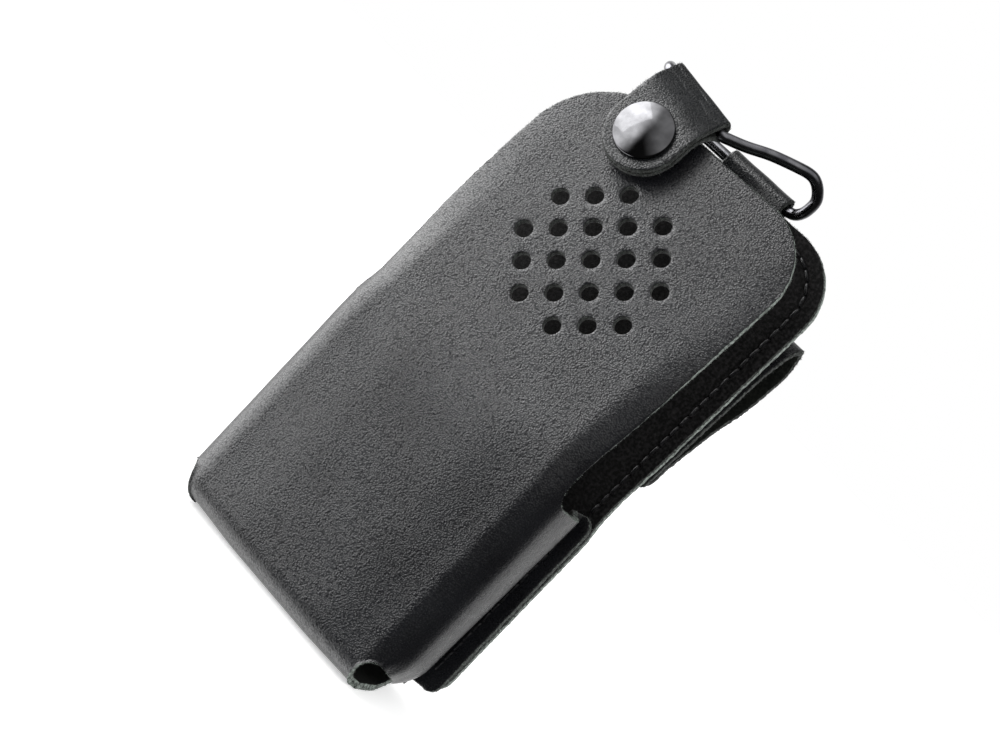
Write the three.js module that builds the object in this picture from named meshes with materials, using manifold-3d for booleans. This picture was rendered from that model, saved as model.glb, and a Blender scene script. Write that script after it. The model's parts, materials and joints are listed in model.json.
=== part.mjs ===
// Leather carry case for a two-way radio, empty, with its closing strap snapped shut.
// Millimetres, +Z up, front of the case towards -Y, origin under the middle of the overall box.
import * as THREE from 'three';
import { mergeVertices } from 'three/addons/utils/BufferGeometryUtils.js';
import Module from 'manifold-3d';

const wasm = await Module();
wasm.setup();

// ---- Driving dimensions ----
const LEATHER = 2.0;             // thickness of the moulded front leather
const FRONT_Y = -25.25;          // outer face of the box front
const REAR_Y = 25.25;            // rearmost face of the belt loop
const CORNER_R = 8;              // outer radius of the two upright front corners
const FLAT_HALF = 29;            // half width of the flat part of the box front
const NOTCH_Z = 64;              // height where the box ends and the front flap starts
const SIDE_TOP_Z = 62;           // top edge of the box sides
const BOTTOM_R = 7;              // outer rounding under the front and under the sides
const SOLE_FLAT_Y = -8;          // the sole is flat from the front rounding to here, then rises
const SOLE_RISE = 6;             // how much the sole rises at the back panel

const LINING_Y = 8.25;           // face of the suede lining, towards the pocket
const LINING = 1.2;
const PANEL = 1.8;
const LAYER_GAP = 0.1;
const PANEL_Y = LINING_Y + LINING + LAYER_GAP;
const PANEL_REAR_Y = PANEL_Y + PANEL;
const PANEL_HALF = 37.4;         // half width of the panel beside the box...
const PANEL_TOP_HALF = 39.4;     // ...and where its top corners begin
const PANEL_BOTTOM_Z = 6;
const PANEL_TOP_Z = 143.5;
const PANEL_TOP_R = 15;
const PANEL_BOTTOM_R = 5;
const FLANGE_ROOT_X = 32;        // where the side wall folds out into its sewn flange
const STITCH_INSET = 3.7;        // distance of the stitch line from the cut edge

const FLAP_LEAN = THREE.MathUtils.degToRad(12);
const FLAP_START = 0.7;          // the flap begins this far up from its hinge line
const FLAP_LENGTH = 80.5;
const FLAP_CORNER_R = 19.5;
const FLAP_EDGE_R = 11;          // outer radius of the flap's curled side margins
const FLAP_EDGE_TURN = THREE.MathUtils.degToRad(45);
const FLAP_HALF = 37.4;
const FLAP_ROOT_HALF = 35.6;     // the flap is a little narrower at its root
const FLAP_WIDE_UP = 34;         // distance up the flap where it reaches its full width
const HOLE_PITCH = 8;            // square grid, turned 45 degrees
const HOLE_R = 2.1;
const GRID_UP = 42.9;            // middle of the hole pattern, measured up the flap
const SNAP_UP = 71.4;            // middle of the snap, measured up the flap
const SNAP_X = -12.4;

const TAB_HALF = 9.8;
const TAB_UNDER = 2.5;           // height of the strap's underside over the flap
const TAB_LAYER = 1.7;
const TAB_TOP = TAB_UNDER + 2 * TAB_LAYER;
const CAP_R = 7.3;
const STEM_R = 1.6;              // stem of the snap's cap, through the strap
const POST_HOLE_R = 1.5;         // hole for the snap's post, through the flap

const WIRE_R = 1.4;
const BAR_UP = 86.8;             // the bail's front bar at the snap: distance up the flap's plane...
const BAR_BEHIND = 1.6;          // ...and behind the flap's outer face
const BAR_TILT = Math.tan(THREE.MathUtils.degToRad(9)); // the bail sits askew, its left end higher
const EYE_R = 1.7;               // channel for the wire through the strap's fold
const BACK_BAR_Z = 145.25;
const HANGER = 1.2;              // thickness of the hanger strap over the bail's back bar
const HANGER_X = [-3, 16];
const HANGER_DROP = 12;          // how far the hanger comes down each side of the panel
const BACK_BAR_Y = (LINING_Y + PANEL_REAR_Y) / 2;
const HANGER_INNER_R = (PANEL_REAR_Y - LINING_Y) / 2 + 0.15;

const LOOP_LEATHER = 1.9;
const LOOP_BOTTOM_Z = 75;
const LOOP_TOP_Z = 124.5;
const LOOP_HALF = [37.3, 40.3];  // half width at the sewn bottom and at the open fold
const THREAD_R = 0.35;

// ---- Geometry helpers ----
const V2 = (x, y) => new THREE.Vector2(x, y);
const V3 = (x, y, z) => new THREE.Vector3(x, y, z);

function toSolid(geometry) {
  const bare = geometry.clone();
  bare.deleteAttribute('normal');
  bare.deleteAttribute('uv');
  const merged = mergeVertices(bare, 1e-4);
  return new wasm.Manifold(new wasm.Mesh({
    numProp: 3,
    vertProperties: new Float32Array(merged.attributes.position.array),
    triVerts: new Uint32Array(merged.index.array),
  }));
}

function toGeometry(solid) {
  const result = solid.getMesh();
  const geometry = new THREE.BufferGeometry();
  geometry.setAttribute('position', new THREE.BufferAttribute(result.vertProperties, 3));
  geometry.setIndex(new THREE.BufferAttribute(result.triVerts, 1));
  geometry.computeVertexNormals();
  return geometry;
}

// Extrudes a shape drawn in (x, y) upwards, from z = low to z = high.
function extrudeUp(shape, low, high, curveSegments = 6) {
  const options = { depth: high - low, bevelEnabled: false, curveSegments };
  return new THREE.ExtrudeGeometry(shape, options).translate(0, 0, low);
}

// Extrudes a shape drawn in (y, z) sideways, from x = low to x = high.
function extrudeAcross(shape, low, high, curveSegments = 6) {
  const turn = new THREE.Matrix4().makeBasis(V3(0, 1, 0), V3(0, 0, 1), V3(1, 0, 0));
  return extrudeUp(shape, low, high, curveSegments).applyMatrix4(turn);
}

// Extrudes a shape drawn in (x, z) from front to back, from y = low to y = high.
function extrudeBack(shape, low, high, curveSegments = 6) {
  const turn = new THREE.Matrix4().makeBasis(V3(1, 0, 0), V3(0, 0, 1), V3(0, -1, 0));
  return extrudeUp(shape, -high, -low, curveSegments).applyMatrix4(turn);
}

// The closed outline of a strip of even thickness along a mid line.
function ribbon(points, thickness) {
  const left = [];
  const right = [];
  points.forEach((point, i) => {
    const before = points[Math.max(i - 1, 0)];
    const after = points[Math.min(i + 1, points.length - 1)];
    const along = after.clone().sub(before).normalize();
    const side = V2(-along.y, along.x).multiplyScalar(thickness / 2);
    left.push(point.clone().add(side));
    right.unshift(point.clone().sub(side));
  });
  return new THREE.Shape([...left, ...right]);
}

// Points on an arc, both ends included; angles in degrees.
function arc(cx, cy, r, from, to, steps = 5) {
  return Array.from({ length: steps + 1 }, (_, i) => {
    const a = THREE.MathUtils.degToRad(from + ((to - from) * i) / steps);
    return V2(cx + r * Math.cos(a), cy + r * Math.sin(a));
  });
}

// A plate outline in (x, z) with rounded corners. Its sides spread from half to topHalf,
// between the heights spread[0] and spread[1].
function plateOutline(half, low, high, lowR, highR, topHalf = half, spread = [low + lowR, high - highR]) {
  const shape = new THREE.Shape();
  shape.moveTo(-half + lowR, low);
  shape.lineTo(half - lowR, low);
  shape.absarc(half - lowR, low + lowR, lowR, -Math.PI / 2, 0);
  shape.lineTo(half, spread[0]);
  shape.lineTo(topHalf, spread[1]);
  shape.lineTo(topHalf, high - highR);
  shape.absarc(topHalf - highR, high - highR, highR, 0, Math.PI / 2);
  shape.lineTo(-topHalf + highR, high);
  shape.absarc(-topHalf + highR, high - highR, highR, Math.PI / 2, Math.PI);
  shape.lineTo(-topHalf, spread[1]);
  shape.lineTo(-half, spread[0]);
  shape.lineTo(-half, low + lowR);
  shape.absarc(-half + lowR, low + lowR, lowR, Math.PI, Math.PI * 1.5);
  return shape;
}

function tube(path, radius, steps, sides = 8) {
  const section = new THREE.Shape(arc(0, 0, radius, 0, 360 - 360 / sides, sides - 1));
  return new THREE.ExtrudeGeometry(section, { steps, bevelEnabled: false, extrudePath: path });
}

function polyPath(points) {
  const path = new THREE.CurvePath();
  for (let i = 1; i < points.length; i += 1) {
    path.add(new THREE.LineCurve3(points[i - 1], points[i]));
  }
  return path;
}

// ---- Materials ----
function material(color, roughness, metalness) {
  return new THREE.MeshStandardMaterial({ color, roughness, metalness });
}

const grainLeather = material(0x26272a, 0.5, 0);
const suedeLeather = material(0x1b1b1c, 0.95, 0);
const strapLeather = material(0x2b2c2f, 0.5, 0);
const thread = material(0x0f0f10, 0.8, 0);
const nickel = material(0x9a9ca0, 0.22, 1);
const gunmetal = material(0x55565a, 0.3, 1);

function piece(name, geometry, finish) {
  const mesh = new THREE.Mesh(geometry, finish.clone());
  mesh.name = name;
  return mesh;
}

// ---- Box of moulded leather: front, sides, sole and sewn flanges ----

// Half of the box in plan, from the middle of the front to the back panel.
function planHalf(inset) {
  const r = CORNER_R - inset;
  const bulge = new THREE.CubicBezierCurve(
    V2(FLAT_HALF + r, FRONT_Y + CORNER_R),
    V2(FLAT_HALF + r + 0.4, -6),
    V2(36.6 - inset, 1.5),
    V2(FLANGE_ROOT_X + LEATHER / 2 - inset, LINING_Y - 3.4),
  );
  return [
    ...arc(FLAT_HALF, FRONT_Y + CORNER_R, r, -90, 0, 6),
    ...bulge.getPoints(8).slice(1),
  ];
}

function planOutline(inset, backY) {
  const half = planHalf(inset);
  const rear = V2(half.at(-1).x, backY);
  const right = [...half, rear];
  const left = right.map((p) => V2(-p.x, p.y)).reverse();
  return new THREE.Shape([...right, ...left]);
}

function soleProfile(inset, backY) {
  const r = BOTTOM_R - inset;
  const slope = SOLE_RISE / (LINING_Y - SOLE_FLAT_Y);
  return new THREE.Shape([
    V2(FRONT_Y + inset, NOTCH_Z + 10),
    ...arc(FRONT_Y + BOTTOM_R, BOTTOM_R, r, 180, 270, 6),
    V2(SOLE_FLAT_Y, inset),
    V2(backY, inset + slope * (backY - SOLE_FLAT_Y)),
    V2(backY, NOTCH_Z + 10),
  ]);
}

function boxBlock(inset, backY) {
  const half = FLAT_HALF + CORNER_R;
  const plan = toSolid(extrudeUp(planOutline(inset, backY), -5, NOTCH_Z + (inset ? 5 : 0)));
  const side = toSolid(extrudeAcross(soleProfile(inset, backY), -half - 2, half + 2));
  const front = plateOutline(half + 1 - inset, inset, NOTCH_Z + 10, BOTTOM_R - inset, 1);
  return plan.intersect(side).intersect(toSolid(extrudeBack(front, FRONT_Y - 2, LINING_Y + 4, 5)));
}

function flange(side) {
  const shape = new THREE.Shape();
  const low = PANEL_BOTTOM_Z;
  shape.moveTo(FLANGE_ROOT_X - 1, low);
  shape.lineTo(PANEL_HALF - 3, low);
  shape.absarc(PANEL_HALF - 3, low + 3, 3, -Math.PI / 2, 0);
  shape.lineTo(PANEL_HALF, SIDE_TOP_Z - 5);
  shape.absarc(PANEL_HALF - 5, SIDE_TOP_Z - 5, 5, 0, Math.PI / 2);
  shape.lineTo(FLANGE_ROOT_X - 1, SIDE_TOP_Z);
  const back = LINING_Y - LAYER_GAP;
  const solid = toSolid(extrudeBack(shape, back - LEATHER, back, 4));
  return side > 0 ? solid : solid.mirror([1, 0, 0]);
}

// The open corner between the sole's side edge and the curled-under side wall.
function cornerOpening(side) {
  const plan = new THREE.Shape([
    V2(29.5, FRONT_Y - 1), V2(34.4, FRONT_Y - 1), V2(34.4, -19), V2(33.2, -12), V2(31.8, -5),
    V2(30, 2.5), V2(29.5, 2.5),
  ]);
  const arch = new THREE.Shape([V2(34.4, -2), ...arc(31.95, 5.8, 2.45, 0, 180, 6), V2(29.5, -2)]);
  const solid = toSolid(extrudeUp(plan, -2, 9)).intersect(toSolid(extrudeBack(arch, FRONT_Y - 2, 4)));
  return side > 0 ? solid : solid.mirror([1, 0, 0]);
}

function frontShell() {
  const back = LINING_Y - LAYER_GAP;
  let shell = boxBlock(0, back).subtract(boxBlock(LEATHER, back + 3));
  shell = shell.add(flange(1)).add(flange(-1));
  const lip = extrudeAcross(
    new THREE.Shape([V2(back - LEATHER, 7.5), V2(back, 6.4), V2(back, 15), V2(back - LEATHER, 15)]),
    -FLAT_HALF, FLAT_HALF,
  );
  shell = shell.add(toSolid(lip));
  const overSides = new THREE.BoxGeometry(90, 60, 20);
  overSides.translate(0, FRONT_Y + LEATHER + 0.75 + 30, SIDE_TOP_Z + 10);
  shell = shell.subtract(toSolid(overSides));
  return shell.subtract(cornerOpening(1)).subtract(cornerOpening(-1));
}

// ---- Back panel, lining and belt loop ----
function plate(y, thickness) {
  const outline = plateOutline(
    PANEL_HALF, PANEL_BOTTOM_Z, PANEL_TOP_Z, PANEL_BOTTOM_R, PANEL_TOP_R,
    PANEL_TOP_HALF, [SIDE_TOP_Z, PANEL_TOP_Z - PANEL_TOP_R],
  );
  return extrudeBack(outline, y, y + thickness, 6);
}

// A strip folded over at the top: its front run lies on the panel, its rear run bows out.
function beltLoop() {
  const t = LOOP_LEATHER;
  const front = PANEL_REAR_Y + LAYER_GAP;
  const rearRun = new THREE.SplineCurve([
    V2(front + 1.5 * t, LOOP_BOTTOM_Z + 8), V2(18, 96), V2(22.5, 104.5), V2(REAR_Y - t / 2, 114),
    V2(REAR_Y - t / 2 - 1.1, 119), V2(19.2, LOOP_TOP_Z - t / 2), V2(14.6, 120.4), V2(front + t / 2, 113),
  ]);
  const midline = [
    V2(front + 1.5 * t, LOOP_BOTTOM_Z),
    ...rearRun.getPoints(30),
    V2(front + t / 2, 105),
    V2(front + t / 2, LOOP_BOTTOM_Z),
  ];
  const strip = toSolid(extrudeAcross(ribbon(midline, t), -45, 45));
  const sewnEnd = new THREE.BoxGeometry(90, 2 * t - 0.2, 7).translate(0, front + t, LOOP_BOTTOM_Z + 3.5);
  const [low, high] = LOOP_HALF;
  const taper = new THREE.Shape([
    V2(-low, LOOP_BOTTOM_Z), V2(low, LOOP_BOTTOM_Z), V2(high, LOOP_TOP_Z + 1), V2(-high, LOOP_TOP_Z + 1),
  ]);
  return strip.add(toSolid(sewnEnd)).intersect(toSolid(extrudeBack(taper, 0, 40)));
}

// Saddles the panel's top edge and carries the bail's back bar in its crown.
function hangerStrap() {
  const r = HANGER_INNER_R + HANGER / 2;
  const foot = PANEL_TOP_Z - HANGER_DROP;
  const midline = [
    V2(BACK_BAR_Y + r, foot),
    ...arc(BACK_BAR_Y, BACK_BAR_Z, r, 0, 180, 12),
    V2(BACK_BAR_Y - r, foot),
  ];
  return extrudeAcross(ribbon(midline, HANGER), HANGER_X[0], HANGER_X[1]);
}

// ---- Seams ----
const linedSeamY = LINING_Y - LAYER_GAP - THREAD_R;
const flangeSeamY = linedSeamY - LEATHER;
const seamX = PANEL_HALF - STITCH_INSET;

function flangeThread(side) {
  const path = polyPath([V3(side * seamX, flangeSeamY, 11), V3(side * seamX, flangeSeamY, SIDE_TOP_Z - 3)]);
  return tube(path, THREAD_R, 2, 6);
}

function panelThread(side, endX) {
  const r = PANEL_TOP_R - STITCH_INSET;
  const bend = arc(PANEL_TOP_HALF - PANEL_TOP_R, PANEL_TOP_Z - PANEL_TOP_R, r, 0, 90, 6);
  const points = [
    V3(side * seamX, linedSeamY, SIDE_TOP_Z + 1),
    ...bend.map((p) => V3(side * p.x, linedSeamY, p.y)),
    V3(endX, linedSeamY, PANEL_TOP_Z - STITCH_INSET),
  ];
  return tube(polyPath(points), THREAD_R, 40, 6);
}

function crossThread(y, z, half, middle = 0) {
  return tube(polyPath([V3(middle - half, y, z), V3(middle + half, y, z)]), THREAD_R, 2, 6);
}

// ---- Front flap, in its own frame: +Z up the flap, -Y out of its face, hinge line at the origin ----
function frontFlap() {
  const edgeX = FLAP_HALF - FLAP_EDGE_R * Math.sin(FLAP_EDGE_TURN);
  const turn = THREE.MathUtils.radToDeg(FLAP_EDGE_TURN);
  const right = arc(edgeX, FLAP_EDGE_R, FLAP_EDGE_R - LEATHER / 2, -90, -90 + turn, 5);
  const left = right.map((p) => V2(-p.x, p.y)).reverse();
  const sheet = toSolid(extrudeUp(ribbon([...left, ...right], LEATHER), FLAP_START, FLAP_LENGTH));
  const outline = plateOutline(
    FLAP_ROOT_HALF, 0, FLAP_LENGTH, 0.5, FLAP_CORNER_R, FLAP_HALF, [FLAP_START, FLAP_WIDE_UP],
  );
  let flap = sheet.intersect(toSolid(extrudeBack(outline, -2, 12, 8)));
  for (const [x, up] of holePlaces()) {
    flap = flap.subtract(drill(HOLE_R, x, up, 14));
  }
  return flap.subtract(drill(POST_HOLE_R, SNAP_X, SNAP_UP, 12));
}

function drill(radius, x, up, sides) {
  return toSolid(new THREE.CylinderGeometry(radius, radius, 30, sides).translate(x, 0, up));
}

// A five by five grid without its four corners, turned onto one corner.
function holePlaces() {
  const places = [];
  const step = HOLE_PITCH * Math.SQRT1_2;
  for (let i = -2; i <= 2; i += 1) {
    for (let j = -2; j <= 2; j += 1) {
      if (Math.abs(i) + Math.abs(j) < 4) {
        places.push([(i - j) * step, GRID_UP + (i + j) * step]);
      }
    }
  }
  return places;
}

// ---- Closing strap, in the flap's frame: two layers, folded round the bail's tilted front bar ----
function closureTab() {
  const foldR = EYE_R + TAB_LAYER;
  const under = TAB_UNDER;
  const side = new THREE.Shape([
    V2(-TAB_TOP, SNAP_UP - TAB_HALF - 1),
    V2(-under, SNAP_UP - TAB_HALF - 1),
    V2(-under, SNAP_UP + 5.2),
    V2(-under + 0.4, SNAP_UP + 7.6),
    V2(-under + 1.3, SNAP_UP + 9.8),
    V2(-under + 2.9, SNAP_UP + 11.6),
    V2(-under + 4.4, SNAP_UP + 12.7),
    ...arc(BAR_BEHIND, BAR_UP, foldR, -15, 120, 9),
    V2(-TAB_TOP + 3.1, SNAP_UP + 13.8),
    V2(-TAB_TOP + 1.4, SNAP_UP + 10.8),
    V2(-TAB_TOP + 0.4, SNAP_UP + 8),
    V2(-TAB_TOP, SNAP_UP + 5.2),
  ]);
  const top = BAR_UP + foldR + TAB_HALF * BAR_TILT + 1;
  const outline = plateOutline(TAB_HALF, SNAP_UP - TAB_HALF, top, TAB_HALF - 0.01, 0.5);
  const skew = new THREE.Matrix4().makeShear(0, -BAR_TILT, 0, 0, 0, 0);
  const folded = extrudeAcross(side, -TAB_HALF - 1, TAB_HALF + 1).applyMatrix4(skew);
  const eye = new THREE.CylinderGeometry(EYE_R, EYE_R, 40, 16).rotateZ(Math.PI / 2);
  eye.applyMatrix4(skew).translate(SNAP_X, BAR_BEHIND, BAR_UP);
  return toSolid(folded)
    .intersect(toSolid(extrudeBack(outline, -10, 10, 8)))
    .translate([SNAP_X, 0, 0])
    .subtract(toSolid(eye))
    .subtract(drill(STEM_R + 0.3, SNAP_X, SNAP_UP, 16));
}

// Pieces of the snap, turned about an axis across the flap: [radius, height over the flap's face].
function turned(profile) {
  const geometry = new THREE.LatheGeometry(profile.map(([r, h]) => V2(r, h)), 24);
  return geometry.rotateX(Math.PI).translate(SNAP_X, 0, SNAP_UP);
}

const studProfile = [
  [0, 1.2], [POST_HOLE_R, 1.2], [POST_HOLE_R, 0.15], [5.2, 0.15], [5, 0.5],
  [3.2, 0.8], [1.9, 1], [2.3, 1.5], [1.9, 1.9], [0, 1.9],
];
const postProfile = [
  [0, -LEATHER - 1], [4.2, -LEATHER - 1], [4.4, -LEATHER - 0.6], [4, -LEATHER - 0.2],
  [POST_HOLE_R - 0.3, -LEATHER - 0.2], [POST_HOLE_R - 0.3, 0.9], [0, 0.9],
];
const socketProfile = [
  [STEM_R + 0.3, 2.1], [3.8, 2.1], [3.8, 1.3], [5.4, 1.3], [5.8, 1.6], [5.8, TAB_UNDER - 0.15],
  [STEM_R + 0.3, TAB_UNDER - 0.15], [STEM_R + 0.3, 2.1],
];
const capBase = TAB_TOP + 0.15;
const capProfile = [
  [0, 2.2], [STEM_R, 2.2], [STEM_R, capBase], [CAP_R - 0.4, capBase],
  [CAP_R, capBase + 0.4], [CAP_R - 0.05, capBase + 0.85], [CAP_R - 0.7, capBase + 1.4],
  [CAP_R * 0.6, capBase + 2], [CAP_R * 0.3, capBase + 2.3], [0, capBase + 2.35],
];

// ---- Wire bail ----
const hinge = V3(0, FRONT_Y, NOTCH_Z);
const upFlap = V3(0, Math.sin(FLAP_LEAN), Math.cos(FLAP_LEAN));
const outOfFlap = V3(0, -Math.cos(FLAP_LEAN), Math.sin(FLAP_LEAN));
const frontBar = hinge.clone().addScaledVector(upFlap, BAR_UP).addScaledVector(outOfFlap, -BAR_BEHIND);
const hangerMiddle = (HANGER_X[0] + HANGER_X[1]) / 2;

// The wire's ends butt inside the hanger; each end loop stands up above the two straight bars.
function bailWire() {
  const back = (x) => V3(x, BACK_BAR_Y, BACK_BAR_Z);
  const front = (x) => V3(x, frontBar.y, frontBar.z).addScaledVector(upFlap, BAR_TILT * (SNAP_X - x));
  const rightStart = back(16.6);
  const rightEnd = front(SNAP_X + TAB_HALF + 0.6);
  const leftStart = front(SNAP_X - TAB_HALF - 0.4);
  const leftEnd = back(-20);
  const rightLoop = new THREE.CatmullRomCurve3([
    rightStart, V3(18.7, 9.4, 145.9), V3(20.4, 8.3, 147.9), V3(21.2, 6.2, 150.8), V3(20.5, 4.2, 152.8),
    V3(19, 2.5, 154.1), V3(17.2, 1.2, 154.3), V3(14.3, -0.6, 153.4), V3(8.7, -2.6, 151.4),
    V3(3.7, -4.2, 149), V3(-0.2, -5.4, 147.5), rightEnd,
  ]);
  const leftLoop = new THREE.CatmullRomCurve3([
    leftStart, V3(-24.3, -4.2, 150.7), V3(-25.4, -2, 151.2), V3(-25.9, 1, 150.9),
    V3(-25.4, 5, 149), V3(-23.6, 8.6, 146.2), leftEnd,
  ]);
  const path = new THREE.CurvePath();
  path.add(new THREE.LineCurve3(back(hangerMiddle + 0.3), rightStart));
  path.add(rightLoop);
  path.add(new THREE.LineCurve3(rightEnd, leftStart));
  path.add(leftLoop);
  path.add(new THREE.LineCurve3(leftEnd, back(hangerMiddle - 0.3)));
  return tube(path, WIRE_R, 110, 8);
}

// ---- Assembly ----
const caseGroup = new THREE.Group();
const hangerThreadY = BACK_BAR_Y - HANGER_INNER_R - HANGER - LAYER_GAP - THREAD_R;
const loopInnerY = PANEL_REAR_Y + LAYER_GAP + LOOP_LEATHER + LAYER_GAP + THREAD_R;
const loopOuterY = loopInnerY + LOOP_LEATHER;

caseGroup.add(
  piece('front_shell', toGeometry(frontShell()), grainLeather),
  piece('back_lining', plate(LINING_Y, LINING), suedeLeather),
  piece('back_panel', plate(PANEL_Y, PANEL), grainLeather),
  piece('belt_loop', toGeometry(beltLoop()), grainLeather),
  piece('bail_hanger', hangerStrap(), strapLeather),
  piece('flange_thread_left', flangeThread(-1), thread),
  piece('flange_thread_right', flangeThread(1), thread),
  piece('panel_thread_left', panelThread(-1, HANGER_X[0] - 1.5), thread),
  piece('panel_thread_right', panelThread(1, HANGER_X[1] + 1.5), thread),
  piece('sole_thread', crossThread(flangeSeamY, 11.5, FLAT_HALF - 2), thread),
  piece('hanger_thread', crossThread(hangerThreadY, PANEL_TOP_Z - 9, 8.5, hangerMiddle), thread),
  piece('loop_thread_upper', crossThread(loopInnerY, 100, 34), thread),
  piece('loop_thread_lower', crossThread(loopOuterY, LOOP_BOTTOM_Z + 3.5, 33), thread),
  piece('wire_bail', bailWire(), gunmetal),
);

const flapGroup = new THREE.Group();
flapGroup.position.copy(hinge);
flapGroup.rotation.x = -FLAP_LEAN;
flapGroup.add(
  piece('front_flap', toGeometry(frontFlap()), grainLeather),
  piece('snap_stud', turned(studProfile), nickel),
  piece('snap_post', turned(postProfile), nickel),
  piece('closure_tab', toGeometry(closureTab()), strapLeather),
  piece('snap_cap', turned(capProfile), nickel),
  piece('snap_socket', turned(socketProfile), nickel),
);
caseGroup.add(flapGroup);

export default caseGroup;
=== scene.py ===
import json
import math
import random

import bpy
import numpy as np
from mathutils import Matrix, Vector, geometry, kdtree


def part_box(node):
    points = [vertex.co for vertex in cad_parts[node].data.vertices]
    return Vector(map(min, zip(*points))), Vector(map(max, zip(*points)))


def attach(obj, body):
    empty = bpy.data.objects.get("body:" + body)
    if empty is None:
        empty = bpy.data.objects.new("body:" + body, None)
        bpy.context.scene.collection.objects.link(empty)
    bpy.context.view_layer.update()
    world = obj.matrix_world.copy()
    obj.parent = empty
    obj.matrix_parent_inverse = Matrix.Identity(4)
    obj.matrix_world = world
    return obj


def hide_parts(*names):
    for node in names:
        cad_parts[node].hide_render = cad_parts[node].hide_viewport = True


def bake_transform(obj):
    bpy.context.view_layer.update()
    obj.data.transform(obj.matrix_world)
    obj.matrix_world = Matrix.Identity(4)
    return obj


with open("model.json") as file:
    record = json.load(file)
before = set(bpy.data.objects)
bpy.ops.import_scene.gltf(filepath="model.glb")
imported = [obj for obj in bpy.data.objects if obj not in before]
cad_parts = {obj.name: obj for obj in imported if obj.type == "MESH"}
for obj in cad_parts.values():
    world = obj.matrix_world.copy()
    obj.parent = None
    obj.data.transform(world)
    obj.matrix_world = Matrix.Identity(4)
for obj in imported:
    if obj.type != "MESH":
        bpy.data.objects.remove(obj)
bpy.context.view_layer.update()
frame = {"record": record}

random.seed(24)
RNG = np.random.default_rng(24)

# Lengths below are in millimetres, +Z up, the front of the case towards -Y, as in the CAD frame.
# Each mesh is scaled to metres as it is made.
MM = 0.001


def node_box(node):
    """Lowest and highest corner of a CAD node, in millimetres."""
    low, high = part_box(node)
    return low / MM, high / MM


SHELL_LOW, SHELL_HIGH = node_box("front_shell")
LINING_LOW, LINING_HIGH = node_box("back_lining")
PANEL_LOW, PANEL_HIGH = node_box("back_panel")
LOOP_LOW, LOOP_HIGH = node_box("belt_loop")
HANGER_LOW, HANGER_HIGH = node_box("bail_hanger")
CAP_LOW, CAP_HIGH = node_box("snap_cap")
SEAM_LOW, SEAM_HIGH = node_box("flange_thread_right")
JOINTS = {joint["name"]: joint for joint in frame["record"]["behaviour"]["joints"]}
BACK_BAR = Vector(JOINTS["bail_swing"]["pos_m"]) / MM
FRONT_BAR = Vector(JOINTS["strap_swing"]["pos_m"]) / MM

# ---- Sizes of the moulded front leather ----
LEATHER = 2.0
FRONT_Y = SHELL_LOW.y
NOTCH_Z = SHELL_HIGH.z
SIDE_TOP_Z = NOTCH_Z - 2
FLANGE_Y = SHELL_HIGH.y - LEATHER
CORNER_R = 8.0
FLAT_HALF = SHELL_HIGH.x - CORNER_R
PANEL_HALF = 37.4
BOTTOM_R = 7.0
TONGUE_HALF = 31.0
SOLE_FLAT_Y = -8.0
SOLE_SLOPE = math.atan(0.37)
LIP_R = 2.9
LIP_TOP_Z = 15.0
STITCH_INSET = PANEL_HALF - (SEAM_LOW.x + SEAM_HIGH.x) / 2
FLAP_LEAN = math.radians(12)
BEND_LOW, BEND_HIGH = NOTCH_Z - 8, NOTCH_Z + 8
FLAP_HALF = 36.9
FLAP_TOP = NOTCH_Z + 80.4
FLAP_CORNER = {-1: 22.0, 1: 16.5}
HOLE_R = 2.1
HOLE_PITCH = 8.0
GRID_UP = 42.9
HOLE_POINTS = 28
POST_HOLE_R = 1.6

# ---- Sizes of the other pieces ----
PLATE_LOW_R = 5.0
PLATE_TOP_R = 15.0
PLATE_WAIST = 0.8
LOOP_LEATHER = 1.9
LOOP_GAP = 0.1
LOOP_HALF = 37.3
HANGER_LEATHER = 1.2
TAB_LAYER = 1.7
TAB_HALF = 9.8
TAB_HOLE_R = 1.9
WIRE_R = 1.4
BAR_TILT = math.tan(math.radians(9))

UP_FLAP = Vector((0, math.sin(FLAP_LEAN), math.cos(FLAP_LEAN)))
OUT_OF_FLAP = Vector((0, -math.cos(FLAP_LEAN), math.sin(FLAP_LEAN)))
HINGE = Vector((0, FRONT_Y, NOTCH_Z))


def smooth(low, high, value):
    """Rises softly from 0 at low to 1 at high."""
    t = np.clip((value - low) / (high - low), 0, 1)
    return t * t * (3 - 2 * t)


# ---- Meshes ----
def mesh_object(name, points, faces, materials, slots=None):
    """A smooth-shaded mesh from points in millimetres."""
    mesh = bpy.data.meshes.new(name)
    points = np.array([tuple(p) for p in points], float)
    mesh.from_pydata((points * MM).tolist(), [], [list(map(int, f)) for f in faces])
    for material in materials:
        mesh.materials.append(material)
    if slots is not None:
        mesh.polygons.foreach_set("material_index", np.asarray(slots, np.int32))
    mesh.polygons.foreach_set("use_smooth", np.ones(len(mesh.polygons), bool))
    mesh.update()
    obj = bpy.data.objects.new(name, mesh)
    bpy.context.scene.collection.objects.link(obj)
    return obj


def place(obj, body, slot, *nodes):
    """The piece rides on a body and stands for CAD nodes."""
    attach(obj, body)
    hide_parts(*nodes)


# ---- Outlines in the flat ----
def arc(cx, cy, r, start, end, steps=10):
    """Points of a circular arc between two angles in degrees."""
    turns = np.radians(np.linspace(start, end, steps + 1))
    return [(cx + r * math.cos(a), cy + r * math.sin(a)) for a in turns]


def rounded_plate(half, low, high, low_r, high_r, top_half=None, spread=None):
    """Anticlockwise outline of a plate whose sides spread from half to top_half."""
    top_half = top_half or half
    right = arc(half - low_r, low + low_r, low_r, -90, 0)
    if spread:
        right += spread
    right += arc(top_half - high_r, high - high_r, high_r, 0, 90)
    return right + [(-x, y) for x, y in reversed(right)]


def soften(points):
    """Cuts the corners of a closed outline."""
    points = np.asarray(points, float)
    after = np.roll(points, -1, 0)
    return np.stack([0.75 * points + 0.25 * after, 0.25 * points + 0.75 * after], 1).reshape(-1, 2)


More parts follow.
